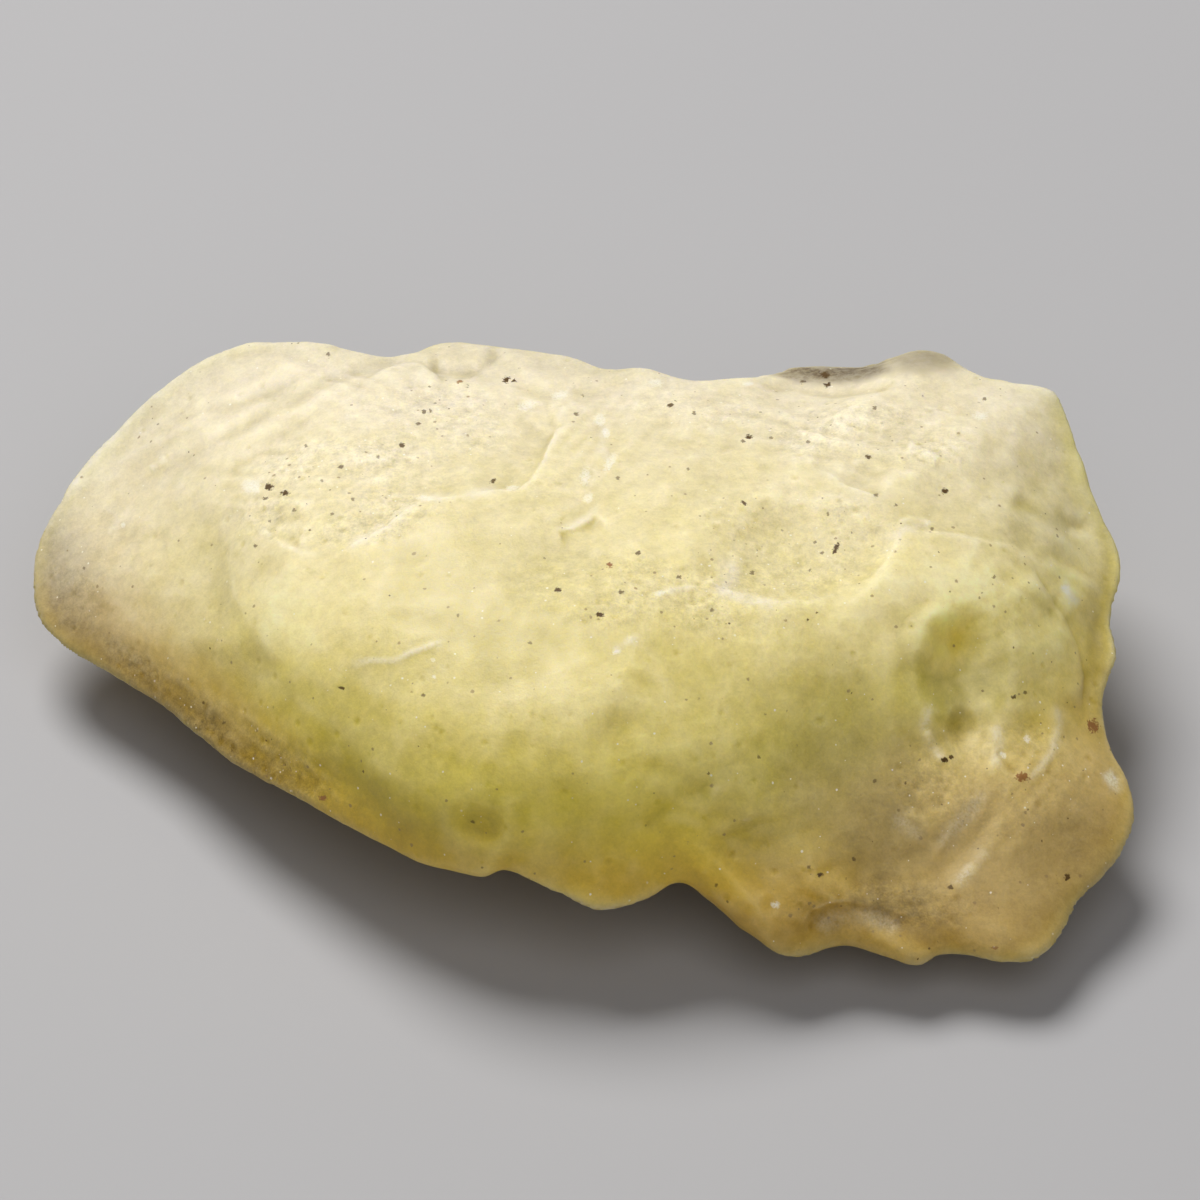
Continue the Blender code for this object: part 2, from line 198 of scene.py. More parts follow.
# Marks in the glass, the white ones white chips and painted glints: x, y in pixels, half width,
# half height, turn in degrees, and kind
DARK, RUSTY, WHITE = 0.0, 0.5, 1.0
MARKS = (
    (268, 487, 5, 3.4, 5, DARK), (285, 493, 4, 2.6, 0, DARK), (507, 380, 4, 3, 0, DARK),
    (513, 381, 3, 2.4, 20, DARK),
    (493, 481, 3, 1.8, -35, DARK), (402, 445, 2.6, 2.2, 0, DARK), (836, 548, 2.2, 6, 25, DARK),
    (600, 615, 4.4, 2.4, 0, DARK), (638, 553, 2.4, 2, 0, DARK), (610, 565, 3, 2.4, 0, RUSTY),
    (744, 503, 3, 2, 20, DARK), (945, 491, 3, 2.6, 0, DARK), (868, 457, 2.6, 2.2, 0, DARK),
    (749, 437, 3, 2.4, 0, DARK), (743, 441, 2.2, 1.6, 0, DARK), (671, 405, 3.2, 1.8, -20, DARK),
    (675, 402, 2, 1.6, 0, DARK), (945, 760, 3.4, 2.6, -10, DARK), (951, 757, 3, 2, -15, DARK),
    (265, 498, 2.6, 1.6, 0, DARK), (294, 510, 2, 1.6, 0, DARK), (255, 546, 2, 1.8, 0, DARK),
    (306, 446, 1.8, 1.5, 0, DARK), (341, 467, 3, 1.5, -10, DARK), (322, 481, 1.6, 1.4, 0, DARK),
    (378, 457, 1.8, 1.6, 0, DARK), (418, 424, 2, 1.8, 0, DARK), (424, 412, 2.2, 2, 0, DARK),
    (430, 411, 2, 1.8, 0, DARK), (328, 354, 2.2, 1.6, 0, DARK), (353, 499, 1.8, 1.6, 0, DARK),
    (332, 514, 2, 1.4, 0, DARK), (270, 521, 1.5, 1.5, 0, DARK), (84, 568, 1.6, 1.6, 0, DARK),
    (460, 382, 3, 1.8, -10, RUSTY), (467, 386, 2, 1.6, 0, DARK),
    (679, 577, 2.2, 1.8, 0, DARK), (621, 592, 2.4, 1.8, 20, DARK), (558, 590, 3, 2.4, 0, DARK),
    (576, 414, 2.4, 1.6, 0, DARK), (582, 396, 1.8, 1.6, 0, DARK), (694, 413, 1.8, 1.8, 0, DARK),
    (771, 438, 1.8, 1.4, 0, DARK), (618, 478, 2, 1.5, 0, DARK), (688, 469, 1.5, 1.5, 0, DARK),
    (752, 573, 2, 1.8, 0, DARK), (815, 542, 1.8, 1.6, 0, DARK), (828, 514, 1.8, 1.6, 0, DARK),
    (810, 570, 1.8, 1.6, 0, DARK), (822, 553, 2, 1.6, 0, DARK), (876, 495, 2, 1.8, 0, DARK),
    (896, 505, 1.8, 1.6, 0, DARK), (932, 529, 2, 1.6, 0, DARK), (808, 442, 2, 1.6, 0, DARK),
    (875, 408, 2, 1.6, 0, DARK), (984, 399, 2, 1.6, 0, DARK), (994, 577, 1.8, 1.6, 0, DARK),
    (1014, 697, 2.6, 2, -20, DARK), (1025, 692, 2, 1.8, 0, DARK), (759, 757, 1.8, 1.6, 0, DARK),
    (875, 781, 2, 1.6, 0, DARK), (820, 875, 3, 2.4, 0, DARK), (854, 859, 2, 1.8, 0, DARK),
    (809, 867, 1.8, 1.6, 0, DARK), (950, 887, 2.6, 2, 0, DARK), (1067, 877, 2.6, 3.4, 20, DARK),
    (716, 885, 1.8, 1.6, 0, DARK), (995, 948, 3, 1.6, -5, RUSTY), (224, 723, 1.8, 1.5, 0, DARK),
    (342, 688, 4, 1.4, 10, DARK), (423, 695, 2, 1.8, 0, DARK), (473, 822, 2, 1.6, 0, DARK),
    (458, 615, 1.8, 1.5, 0, DARK), (530, 643, 1.8, 1.5, 0, DARK), (712, 610, 1.8, 1.6, 0, DARK),
    (1022, 777, 6, 4.4, 10, RUSTY), (1093, 726, 5, 6.5, -20, RUSTY), (825, 375, 4.6, 3, 10, DARK),
    (827, 384, 3.6, 3, 0, DARK), (803, 382, 2.4, 1.8, 0, DARK), (323, 798, 3.6, 2.4, 0, RUSTY),
    (252, 486, 10, 6.5, 5, WHITE), (585, 477, 5, 8, 12, WHITE), (610, 462, 4, 10, 32, WHITE),
    (600, 420, 5.5, 6, 0, WHITE), (606, 433, 4, 5, -30, WHITE), (588, 498, 4, 5, 40, WHITE),
    (526, 406, 9, 4.6, -12, WHITE), (560, 395, 8, 4, -14, WHITE), (655, 383, 7, 4, 0, WHITE),
    (748, 384, 6, 1.8, -4, WHITE), (1066, 590, 3, 6, -38, WHITE),
    (660, 593, 6, 2.6, -12, WHITE), (123, 525, 2.4, 2.4, 0, WHITE), (775, 905, 4, 3, 0, WHITE),
    (1027, 739, 3, 4, -20, WHITE), (1003, 755, 3.6, 2.6, 30, WHITE),
    (512, 488, 7, 2.6, -8, WHITE), (425, 498, 8, 2.6, 2, WHITE), (980, 416, 7, 4, 0, WHITE),
    (433, 660, 2, 2, 0, WHITE), (434, 677, 2, 2, 0, WHITE), (616, 652, 5, 2, -20, WHITE),
)

# Strength of the white marks, and the least strength of the others and what each square pixel adds to it
WHITE_STRENGTH = 0.7
LEAST_STRENGTH = 0.35
STRENGTH_OF_SIZE = 0.1

# Marks scattered at random, the white ones painted sparkles: kind, how many, smallest and largest
# radius in mm, how likely on smooth glass
SCATTERED = (
    (DARK, 420, 0.025, 0.07, 0.15),
    (WHITE, 260, 0.025, 0.06, 0.4),
)
SCATTERED_STRENGTHS = (0.25, 0.9)

# What is stored away from all marks: an offset in half widths, and a number that isn't whole
FAR_OFF = 9.0
NO_NUMBER = 0.5
# A mark's offsets are stored this many half widths out, and a margin further
MARK_REACH = 1.6
MARK_MARGIN = 0.5 * MM
SCATTERED_MARGIN = 0.4 * MM
# Scattered marks keep this many half widths off the marks before them
CLEAR_OF_MARKS = 8

# A mark's edge: how ragged it is, and where it begins and the mark is whole, in half widths
MARK_RAGGED = 2.2
MARK_EDGE = (1.25, 0.75)
# How near to a whole number a mark's number has to be, which it isn't between two marks
NEARLY_WHOLE = 0.01

# Where the glass keeps a thin tan skin: middle, half width, half height, turn, strength
SKIN_PATCHES = (
    ((985, 830), 200, 130, 15, 0.7),
    ((72, 632), 62, 50, 35, 0.5),
)

# Where the frosting is rubbed away and the clear glass shows, with painted shade in valleys and on low
# rims: the same
CLEAR_AND_SHADE_PATCHES = (
    ((700, 650), 60, 40, 0, 0.03),
    ((1026, 742), 26, 34, 20, 0.08),
    ((330, 690), 70, 24, 28, 0.06),
    ((200, 600), 60, 90, -20, 0.06),
    ((290, 750), 200, 42, 35, 0.14),
    ((690, 862), 60, 34, 20, 0.08),
)

# The arch-shaped hollow's clearer glass and painted shade, with a crisp edge: the same
ARCH = ((963, 670), 46, 62, 0, 0.14)

# Painted light (positive) and painted shade (negative) in the glass's colour: the same, with the strength as
# a share of the brightness
SHADE_PATCHES = (
    ((640, 770), 120, 70, 0, 0.12),
    ((965, 660), 56, 70, 0, 0.26),
    ((1050, 650), 26, 60, 0, 0.10),
    ((1102, 665), 22, 105, -4, -0.28),
    ((1080, 562), 28, 60, 0, 0.17),
    ((1110, 590), 12, 100, -3, -0.22),
    ((1068, 630), 18, 50, 0, 0.09),
    ((1030, 650), 24, 50, 0, 0.08),
    ((942, 634), 36, 44, 0, 0.24),
    ((978, 680), 34, 30, 0, -0.16),
    ((870, 350), 110, 24, 0, -0.16),
    ((1020, 850), 150, 90, 0, -0.14),
    ((215, 735), 235, 42, 35, -0.50),
    ((52, 572), 56, 90, -10, -0.32),
    ((480, 610), 190, 120, 0, -0.10),
    ((850, 795), 110, 105, 0, -0.30),
    ((640, 372), 100, 14, 3, -0.10),
    ((1068, 590), 20, 40, -30, 0.12),
    ((290, 618), 80, 70, 0, 0.20),
    ((965, 580), 125, 44, 8, 0.16),
    ((560, 690), 110, 50, 0, 0.05),
    ((760, 850), 60, 40, 0, -0.22),
    ((900, 905), 90, 30, 0, -0.14),
    ((420, 830), 90, 40, 30, -0.16),
    ((350, 775), 75, 30, 35, -0.22),
    ((1085, 825), 45, 75, 0, -0.12),
    ((880, 635), 45, 45, 0, 0.10),
    ((960, 705), 30, 24, 0, -0.12),
    ((940, 352), 60, 26, 0, -0.18),
    ((830, 372), 80, 18, 0, -0.22),
)

# Where the frosting is thickest, with painted light on facets that catch it: the same
FROST_AND_LIGHT_PATCHES = (
    ((392, 394), 44, 26, -18, 0.24),
    ((665, 386), 40, 14, 0, 0.22),
    ((727, 574), 14, 22, 0, 0.16),
    ((252, 486), 12, 8, 0, 0.2),
    ((340, 370), 60, 12, -8, 0.10),
    ((962, 660), 70, 80, 0, 0.22),
    ((690, 775), 140, 60, 12, 0.08),
    ((560, 700), 120, 50, 0, 0.13),
    ((1065, 560), 55, 75, 0, 0.12),
    ((870, 640), 60, 50, 0, 0.08),
    ((960, 590), 110, 34, 5, 0.08),
    ((300, 610), 70, 70, 0, 0.05),
    ((1045, 640), 40, 60, 0, 0.10),
)

# The dark brown behind the far rim: the same
FAR_RIM_BROWN_PATCHES = (
    ((826, 366), 80, 21, 0, 1.0),
    ((925, 352), 60, 32, 0, 0.45),
)

# Pale (positive) lines, partly pale streaks and partly painted highlights, and dark (negative) lines of
# painted shade on the glass: path in pixels, half width in pixels, strength
LINES = (
    (((345, 549), (357, 542), (386, 526), (408, 508), (421, 501)), 4, 0.5),
    (((423, 499), (446, 497), (472, 494), (500, 488)), 4, 0.5),
    (((225, 555), (250, 575), (262, 590)), 4, 0.15),
    (((282, 540), (300, 552), (318, 556)), 3, 0.3),
    (((345, 665), (372, 660), (394, 661), (412, 652), (450, 638)), 3, 0.5),
    (((596, 418), (604, 430), (600, 448), (612, 462)), 4, 0.7),
    (((552, 529), (572, 526), (588, 515), (602, 503)), 3, 0.5),
    (((664, 593), (680, 589), (694, 586)), 4, 0.5),
    (((727, 552), (737, 572), (722, 590), (745, 600), (782, 606)), 5, 0.4),
    (((812, 465), (830, 474), (850, 482), (872, 492)), 4, 0.35),
    (((884, 552), (892, 538), (905, 528), (935, 523)), 4, 0.45),
    (((700, 586), (745, 594), (800, 603), (850, 590)), 5, 0.15),
    (((612, 652), (622, 645), (640, 636)), 4, 0.5),
    (((1062, 583), (1070, 596), (1080, 606)), 4, 1.0),
    (((1104, 770), (1113, 781), (1117, 795)), 5, 0.9),
    (((930, 700), (925, 725), (934, 748), (946, 764)), 5, 0.35),
    (((995, 722), (1000, 745), (994, 770)), 5, 0.4),
    (((1056, 700), (1060, 724), (1053, 752), (1026, 784)), 4, 0.35),
    (((992, 786), (972, 808), (952, 830), (932, 852)), 8, 0.30),
    (((990, 848), (975, 866), (952, 888)), 6, 0.35),
    (((905, 802), (898, 820), (925, 838)), 8, 0.25),
    (((812, 930), (840, 916), (872, 916), (905, 932)), 9, 0.25),
    (((205, 410), (245, 406), (300, 388), (350, 373), (400, 360)), 7, -0.10),
    (((205, 446), (245, 428), (270, 408), (310, 396)), 7, -0.08),
    (((160, 482), (200, 470), (232, 472), (252, 452)), 8, -0.07),
    (((243, 523), (262, 526), (290, 519), (304, 514)), 4, -0.10),
    (((244, 515), (230, 550), (228, 600), (250, 635), (290, 682)), 10, -0.07),
    (((108, 506), (100, 530), (96, 552)), 8, -0.07),
    (((300, 490), (322, 488), (350, 489)), 3, -0.08),
    (((420, 366), (446, 374), (477, 374), (502, 352)), 6, -0.10),
    (((1012, 506), (1040, 514), (1076, 530)), 10, -0.10),
    (((1090, 620), (1092, 650), (1086, 684)), 6, -0.15),
    (((848, 842), (868, 868), (905, 884)), 14, -0.10),
    (((66, 591), (84, 594), (100, 602), (122, 616)), 3, -0.14),
)

# The side that wind-blown sand has frosted most, and the side of the lights whose sheen is painted on
FROST_AND_SHEEN_SIDE = (-0.25, 0.25, 0.95)

# Roughness: the least on the seen side, its even and its patchy share there, the spacing of the patches, and
# the most on the hidden side
LEAST_ROUGH = 0.12
EVEN_ROUGH = 0.55
PATCHY_ROUGH = 0.75
ROUGH_SPACING = 4 * MM
HIDDEN_ROUGH = 0.8

# Turns of blurring that find narrow edges, the broad slope, and the border between the seen and hidden sides
EDGE_TURNS = 10
SLOPE_TURNS = 120
BORDER_TURNS = 80

# How much frosting and painted sheen there is on the seen side's middle, how much more painted sheen for
# each mm to the rear, and its least share on steep ground; how much there is on the hidden side below and
# what its upper slopes add
SHOWN_FROST_AND_SHEEN = 0.62
SHEEN_PER_MM = 0.026
STEEP_SHARE = 0.13
HIDDEN_FROST = 0.07
HIDDEN_SLOPES = 0.56
MOST_FROST = 0.95

# What the mottling, the roughness, an edge's height in mm, and the pale and dark lines add to the frosting
# and painted sheen, the lines partly as painted highlights and painted shade
MOTTLE_SPACING = 6 * MM
MOTTLE_FROST = 0.05
ROUGH_FROST = 0.08
EDGE_FROST = 3
PALE_LINE_FROST = 0.3
DARK_LINE_FROST = 0.8

# Painted shade: how much darker the glass is near the floor and at the far rim, and where each begins
# and ends in mm
LOW_SHADE = (0.31, 7.5, 3.5)
FAR_SHADE = (0.13, 12, 16)

# Painted light on edges and painted shade in hollows: what each mm of an edge's height adds to the
# brightness, the least and the most brightness that comes of it on the hidden side, and how much higher the
# most is on the seen side
EDGE_SHADE = 3.0
LEAST_EDGE = 0.85
MOST_EDGE = 1.01
SHOWN_EDGE = 0.11

# The share of a patch's strength, of an edge's frosting and of the far rim's brown that reaches round
# the rim
WRAPPED = 0.6
WRAPPED_EDGES = 0.15
WRAPPED_FAR_RIM_BROWN = 0.35

# How far back the far rim's brown begins and is full, and how high the painted amber glow of light through
# the low glass begins and is full, in mm
FAR_RIM_BROWN_RANGE = (11.5, 15)
FAR_RIM_BROWN_SPACING = 1.6 * MM
AMBER_RANGE = (11, 4.5)

# Glass colours; the amber paints a glow of light through the low glass, the frosted cream also paints
# sheen, and the white and the pale line also paint glints and highlights
CLEAR_GLASS = (0.735, 0.615, 0.075, 1)
PAINTED_AMBER_GLOW = (0.72, 0.45, 0.052, 1)
FROST_AND_SHEEN_CREAM = (0.84, 0.758, 0.575, 1)
WEATHERED_SKIN = (0.67, 0.49, 0.187, 1)
FAR_RIM_BROWN = (0.21, 0.152, 0.082, 1)
DARK_GRAIN = (0.10, 0.052, 0.008, 1)
RUSTY_GRAIN = (0.34, 0.16, 0.045, 1)
BROWN_SPECK = (0.30, 0.20, 0.09, 1)
WHITE_CHIP_AND_GLINT = (1.0, 0.965, 0.84, 1)
PALE_LINE = (0.93, 0.86, 0.66, 1)
WHOLE = (1, 1, 1, 1)

# Light inside the glass: how much of it, how deep it goes, and each colour's share of that depth
GLASS_LIGHT = 0.45
GLASS_DEPTH = 4.5 * MM
GLASS_REACH = (1.0, 0.85, 0.25)
GLASS_IOR = 1.46

# Unevenness of the glass: spacing, detail and roughness
FINE_GRAIN = (0.35 * MM, 2.0, 0.8)
TINY_GRAIN = (0.12 * MM, 1.0, 0.5)
CLOUDS = (1.6 * MM, 3.0, 0.5)
BLOTCHES = (0.7 * MM, 3.0, 1.0)
CLOUD_FROST = 0.22
BUMP_HEIGHT = 0.05 * MM

# Contrast of the blotches on smooth glass, and what roughness adds to it and to the dullness
BLOTCHINESS = 0.40
ROUGH_BLOTCHINESS = 0.65
ROUGH_DULLNESS = 0.22

# What grain or roughness does to the glass: its range, and what the two ends of that range become
FAR_RIM_BROWN_BY_GRAIN = (0.35, 0.6, 0.55, 1.0)
PALE_BY_GRAIN = (0.36, 0.58, 0.45, 1.0)
DULLNESS_BY_GRAIN = (0.3, 0.7, 0.40, 0.56)
SPECKS_BY_ROUGHNESS = (0.05, 0.7, 0.2, 0.95)
BUMP_BY_ROUGHNESS = (0.0, 1.0, 0.35, 1.0)

# Specks, the pale ones painted sparkles: spacing, crispness, radius and strength, and a scale that keeps
# the pale ones off the brown ones
SPECK_SPACING = 0.6 * MM
SPECK_CRISPNESS = 2.5
BROWN_RADIUS = 0.12 * MM
BROWN_STRENGTH = 0.65
PALE_RADIUS = 0.10 * MM
PALE_STRENGTH = 0.7
PALE_SCALE = 1.37

# Studio: the floor, and each light's place, size, power and colour
FLOOR_RADIUS = 1.5
FLOOR_CORNERS = 96
FLOOR_COLOUR = (0.45, 0.45, 0.47, 1)
FLOOR_ROUGHNESS = 0.7
LIGHTS = {
    "key": ((-0.16, 0.26, 0.54), 0.34, 3.6, (1.0, 0.98, 0.94)),
    "fill": ((0.06, -0.36, 0.46), 0.60, 1.02, (1.0, 0.98, 0.95)),
}
ROOM_COLOUR = (0.95, 0.97, 1.0, 1)
ROOM_STRENGTH = 0.086
SENSOR_WIDTH = 36
NEAR_CLIP = 10 * MM


def dense_copy(node, name):
    """A fine, even, smooth copy of a CAD node's surface."""
    mesh = node.data.copy()
    weld = bmesh.new()
    weld.from_mesh(mesh)
    bmesh.ops.remove_doubles(weld, verts=weld.verts, dist=SAME_POINT)
    weld.to_mesh(mesh)
    weld.free()
    mesh.materials.clear()
    copy = bpy.data.objects.new(name, mesh)
    bpy.context.scene.collection.objects.link(copy)
    subdivide = copy.modifiers.new("subdivide", "SUBSURF")
    subdivide.levels = subdivide.render_levels = SUBDIVISIONS
    voxels = copy.modifiers.new("voxels", "REMESH")
    voxels.mode = "VOXEL"
    voxels.voxel_size = VOXEL
    soften = copy.modifiers.new("soften", "SMOOTH")
    soften.iterations = SMOOTHING_TURNS
    apply_modifiers(copy)
    return copy


def apply_modifiers(piece):
    evaluated = piece.evaluated_get(bpy.context.evaluated_depsgraph_get())
    mesh = bpy.data.meshes.new_from_object(evaluated)
    piece.modifiers.clear()
    piece.data = mesh


def points_of(mesh):
    points = np.empty(len(mesh.vertices) * 3)
    mesh.vertices.foreach_get("co", points)
    return points.reshape(-1, 3)


def normals_of(mesh):
    normals = np.empty(len(mesh.vertices) * 3)
    mesh.vertex_normals.foreach_get("vector", normals)
    return normals.reshape(-1, 3)


def in_photo(points):
    """Where points stand in the photograph, in its pixels."""
    across, back, up = (points - SIGHT_CENTRE).T
    slope = back * sin(SIGHT_ELEVATION) + up * cos(SIGHT_ELEVATION)
    near = up * sin(SIGHT_ELEVATION) - back * cos(SIGHT_ELEVATION)
    size = SIGHT_DISTANCE / (SIGHT_DISTANCE - near) / PIXEL
    return np.c_[PHOTO_SIDE / 2 + across * size, PHOTO_SIDE / 2 - slope * size]


def eye():
    reach = Vector((0, -cos(SIGHT_ELEVATION), sin(SIGHT_ELEVATION))) * SIGHT_DISTANCE
    return Vector(SIGHT_CENTRE) + reach


def smooth_step(low, high, values):
    t = np.clip((values - low) / (high - low), 0, 1)
    return t * t * (3 - 2 * t)


def facing(points, normals):
    """How far the surface faces the viewpoint, from 0 at its edge to 1 well inside it."""
    sight = np.array(eye()) - points
    sight /= np.linalg.norm(sight, axis=1)[:, None]
    return smooth_step(0.0, WELL_INSIDE, (sight * normals).sum(axis=1))


def along(path, pixels):
    """Distance of pixels from a path, their side of it (1 on its left) and how far along it they are."""
    path = np.array(path, float)
    runs = path[1:] - path[:-1]
    lengths = np.hypot(*runs.T)
    starts = np.r_[0, lengths.cumsum()[:-1]] / lengths.sum()
    offsets = pixels[:, None] - path[None, :-1]
    t = np.clip((offsets * runs).sum(axis=2) / lengths**2, 0, 1)
    gaps = offsets - t[..., None] * runs
    distances = np.hypot(gaps[..., 0], gaps[..., 1])
    nearest = distances.argmin(axis=1)
    rows = np.arange(len(pixels))
    # The photograph's y runs down, so the left of a path is where this product is negative
    cross = (runs[..., 0] * offsets[..., 1] - runs[..., 1] * offsets[..., 0])[rows, nearest]
    share = starts[nearest] + t[rows, nearest] * lengths[nearest] / lengths.sum()
    return distances[rows, nearest], -np.sign(cross), share


def close_to(path, pixels, margin):
    """Indices of the pixels in a box around a path."""
    path = np.array(path, float)
    inside = (pixels > path.min(axis=0) - margin) & (pixels < path.max(axis=0) + margin)
    return np.flatnonzero(inside.all(axis=1))


def fade(share, seed):
    """Strength along a path: none at its two ends, and uneven between them."""
    places = np.c_[share, share * 0, share * 0]
    uneven = PATH_STRENGTH + PATH_VARIATION * noise_field(places, PATH_UNEVENNESS, seed)
    return np.clip(uneven, *PATH_LIMITS) * smooth_step(0, PATH_END, np.minimum(share, 1 - share))


def turned(offsets, wide, high, turn):
    """Offsets from an ellipse's middle in its half widths, for an ellipse turned clockwise by degrees."""
    x, y = offsets.T
    c, s = cos(radians(turn)), sin(radians(turn))
    return np.c_[(x * c + y * s) / wide, (y * c - x * s) / high]


def photo_relief(pixels):
    """Height in mm of the relief that the photograph shows, at places given in its pixels."""
    height = np.zeros(len(pixels))
    for seed, (path, foot, reach, drop) in enumerate(LEDGES, 30):
        drop *= LINE_STRENGTH
        near = close_to(path, pixels, reach * LEDGE_MARGIN)
        distance, side, share = along(path, pixels[near])
        step = (1 - np.exp(-distance / foot)) * np.exp(-((distance / reach) ** 2))
        height[near] -= drop * fade(share, seed) * step * (side > 0)
    for seed, (path, half_width, depth) in enumerate(GROOVES, 60):
        near = close_to(path, pixels, half_width * LINE_MARGIN)
        distance, _, share = along(path, pixels[near])
        depth *= LINE_STRENGTH
        height[near] -= depth * fade(share, seed) * np.exp(-((distance / half_width) ** 2))
    for middle, wide, high, turn, depth, softness in DENTS:
        near = close_to((middle, middle), pixels, max(wide, high))
        radius = np.linalg.norm(turned(pixels[near] - middle, wide, high, turn), axis=1)
        height[near] -= depth * np.clip(1 - radius**2, 0, 1) ** softness
    for patch, turn, length, width, depth in STREAKS:
        strength = patched((patch,), pixels, 0, 0.4)
        near = np.flatnonzero(strength > 0)
        flat = turned(pixels[near], length, width, turn)
        wavy = noise_field(np.c_[flat, np.zeros(len(flat))], 1, 21)
        height[near] += depth * strength[near] * wavy
    return height


def drawn_lines(pixels):
    """Strength of the pale and dark lines at pixels."""
    strength = np.zeros(len(pixels))
    for seed, (path, half_width, most) in enumerate(LINES, 90):
        near = close_to(path, pixels, half_width * LINE_MARGIN)
        distance, _, share = along(path, pixels[near])
        strength[near] += most * fade(share, seed) * np.exp(-((distance / half_width) ** 2))
    return strength


def noise_field(points, spacing, seed, octaves=1):
    """Smooth noise about 0 with features of the given spacing."""
    offset = Vector((seed * 17.3, seed * 5.9, seed * 11.1))
    places = points / spacing
    if octaves > 1:
        return np.array([noise.fractal(Vector(p) + offset, 0.9, 2.0, octaves) for p in places])
    return np.array([noise.noise(Vector(p) + offset) for p in places])


def displace(mesh, points, normals, height_mm):
    moved = points + normals * (height_mm * MM * off_foot(points))[:, None]
    moved[:, 2] = np.maximum(moved[:, 2], 0)
    mesh.vertices.foreach_set("co", moved.ravel())
    mesh.update()


def off_foot(points):
    """0 on the flat spot that the lump rests on, rising to 1 just above it."""
    return smooth_step(*FOOT_RANGE, points[:, 2])


def roughness_zones(points, pixels, front):
    """How rough and pitted the surface is, from 0 on smooth stretches to 1."""
    shown = np.maximum(LEAST_ROUGH, patched(ROUGH_PATCHES, pixels, 0, 0.5))
    patches = smooth_step(-0.3, 0.5, noise_field(points, ROUGH_SPACING, 3))
    return front * shown * (EVEN_ROUGH + PATCHY_ROUGH * patches) + (1 - front) * patches * HIDDEN_ROUGH


def scoops(points, count, smallest, largest, depth, chance):
    """Height in mm of round hollows at random places that meet in crisp edges."""
    tree = kdtree.KDTree(len(points))
    for index, point in enumerate(points):
        tree.insert(point, index)
    tree.balance()
    height = np.zeros(len(points))
    centres = RANDOM.choice(len(points), count, replace=False, p=chance / chance.sum())
    radii = smallest + (largest - smallest) * RANDOM.random(count) ** 2
    for centre, radius in zip(centres, radii):
        found = tree.find_range(points[centre], radius * MM)
        indices = np.array([index for _, index, _ in found])
        shares = np.array([distance for _, _, distance in found]) / (radius * MM)
        hollow = -depth * radius * (1 - shares**2)
        height[indices] = np.minimum(height[indices], hollow)
    return height


def wear(piece):
    """Gives the smooth copy its relief: the photograph's forms in front, worn pits and scallops all over."""
    mesh = piece.data
    points, normals = points_of(mesh), normals_of(mesh)
    pixels, front = in_photo(points), facing(points, normals)
    rough = roughness_zones(points, pixels, front)
    height = SWELL * bulge(mesh, points, normals, SWELL_TURNS)
    height += photo_relief(pixels) * front
    for seed, (spacing, least, change), where in ((1, BROAD_WAVES, front), (2, FINE_WAVES, rough)):
        height += (least + change * where) * noise_field(points, spacing * MM, seed)
    displace(mesh, points, normals, height)
    points, normals = points_of(mesh), normals_of(mesh)
    height = scoops(points, *HIDDEN_SCALLOPS, 1.02 - front) * (1 - front)
    height += scoops(points, *SCALLOPS, np.ones(len(points)))
    height += scoops(points, *SAND_PITS, 0.04 + rough**2)
    displace(mesh, points, normals, height)


def thin_out(piece):
    triangles = sum(len(face.vertices) - 2 for face in piece.data.polygons)
    if triangles > MOST_TRIANGLES:
        fewer = piece.modifiers.new("fewer", "DECIMATE")
        fewer.ratio = MOST_TRIANGLES / triangles
        apply_modifiers(piece)


def store(mesh, name, values):
    attribute = mesh.attributes.new(name, "FLOAT", "POINT")
    attribute.data.foreach_set("value", values.astype(np.float32))


def blurred(mesh, values, turns):
    """Values at a mesh's points, blurred over its surface."""
    edges = np.empty(len(mesh.edges) * 2, int)
    mesh.edges.foreach_get("vertices", edges)
    one, other = edges.reshape(-1, 2).T
    count = len(values)
    neighbours = np.bincount(edges, minlength=count)
    columns = list(values.T)
    for _ in range(turns):
        for index, column in enumerate(columns):
            sums = np.bincount(one, column[other], count) + np.bincount(other, column[one], count)
            columns[index] = (column + sums / neighbours) / 2
    return np.array(columns).T


def bulge(mesh, points, normals, turns):
    """How far points stand above their surroundings in mm, positive on edges and negative in hollows."""
    return ((points - blurred(mesh, points, turns)) * normals).sum(axis=1) / MM


def patched(patches, pixels, ragged, core):
    """Strength of soft patches at pixels: full within a core share of their reach, ragged at the edge."""
    strength = np.zeros(len(pixels))
    for middle, wide, high, turn, most in patches:
        radius = np.linalg.norm(turned(pixels - middle, wide, high, turn), axis=1) + ragged
        strength = np.maximum(strength, most * smooth_step(PATCH_END, core, radius))
    return strength


def frosting(points, shown, sky):
    """Frosting with painted sheen at points, by the side they are on and how far they face the frosted, lit
    side.
    """
    on_top = SHOWN_FROST_AND_SHEEN + SHEEN_PER_MM * points[:, 1] / MM
    on_top *= np.maximum(smooth_step(0.0, 0.85, sky), STEEP_SHARE)
    behind = HIDDEN_FROST + HIDDEN_SLOPES * smooth_step(-0.35, 0.9, sky)
    return shown * on_top + (1 - shown) * behind


def wrapping(least, front):
    """Strength of what is whole on the seen side and falls to its least round the rim."""
    return least + (1 - least) * front


def shadowed(shadow, places):
    """Brightness along a direction, for a shadow's strength and where it begins and ends in mm."""
    most, start, end = shadow
    return 1 - most * smooth_step(start, end, places / MM)


def far_rim_browning(points, pixels, front):
    """Strength of the dark brown, which is ragged and mostly on the seen side of the far rim."""
    ragged = noise_field(points, FAR_RIM_BROWN_SPACING, 13, octaves=3)
    far = smooth_step(*FAR_RIM_BROWN_RANGE, points[:, 1] / MM + 2 * ragged)
    return wrapping(WRAPPED_FAR_RIM_BROWN, front) * far * patched(FAR_RIM_BROWN_PATCHES, pixels, 0.45 * ragged, 0.6)


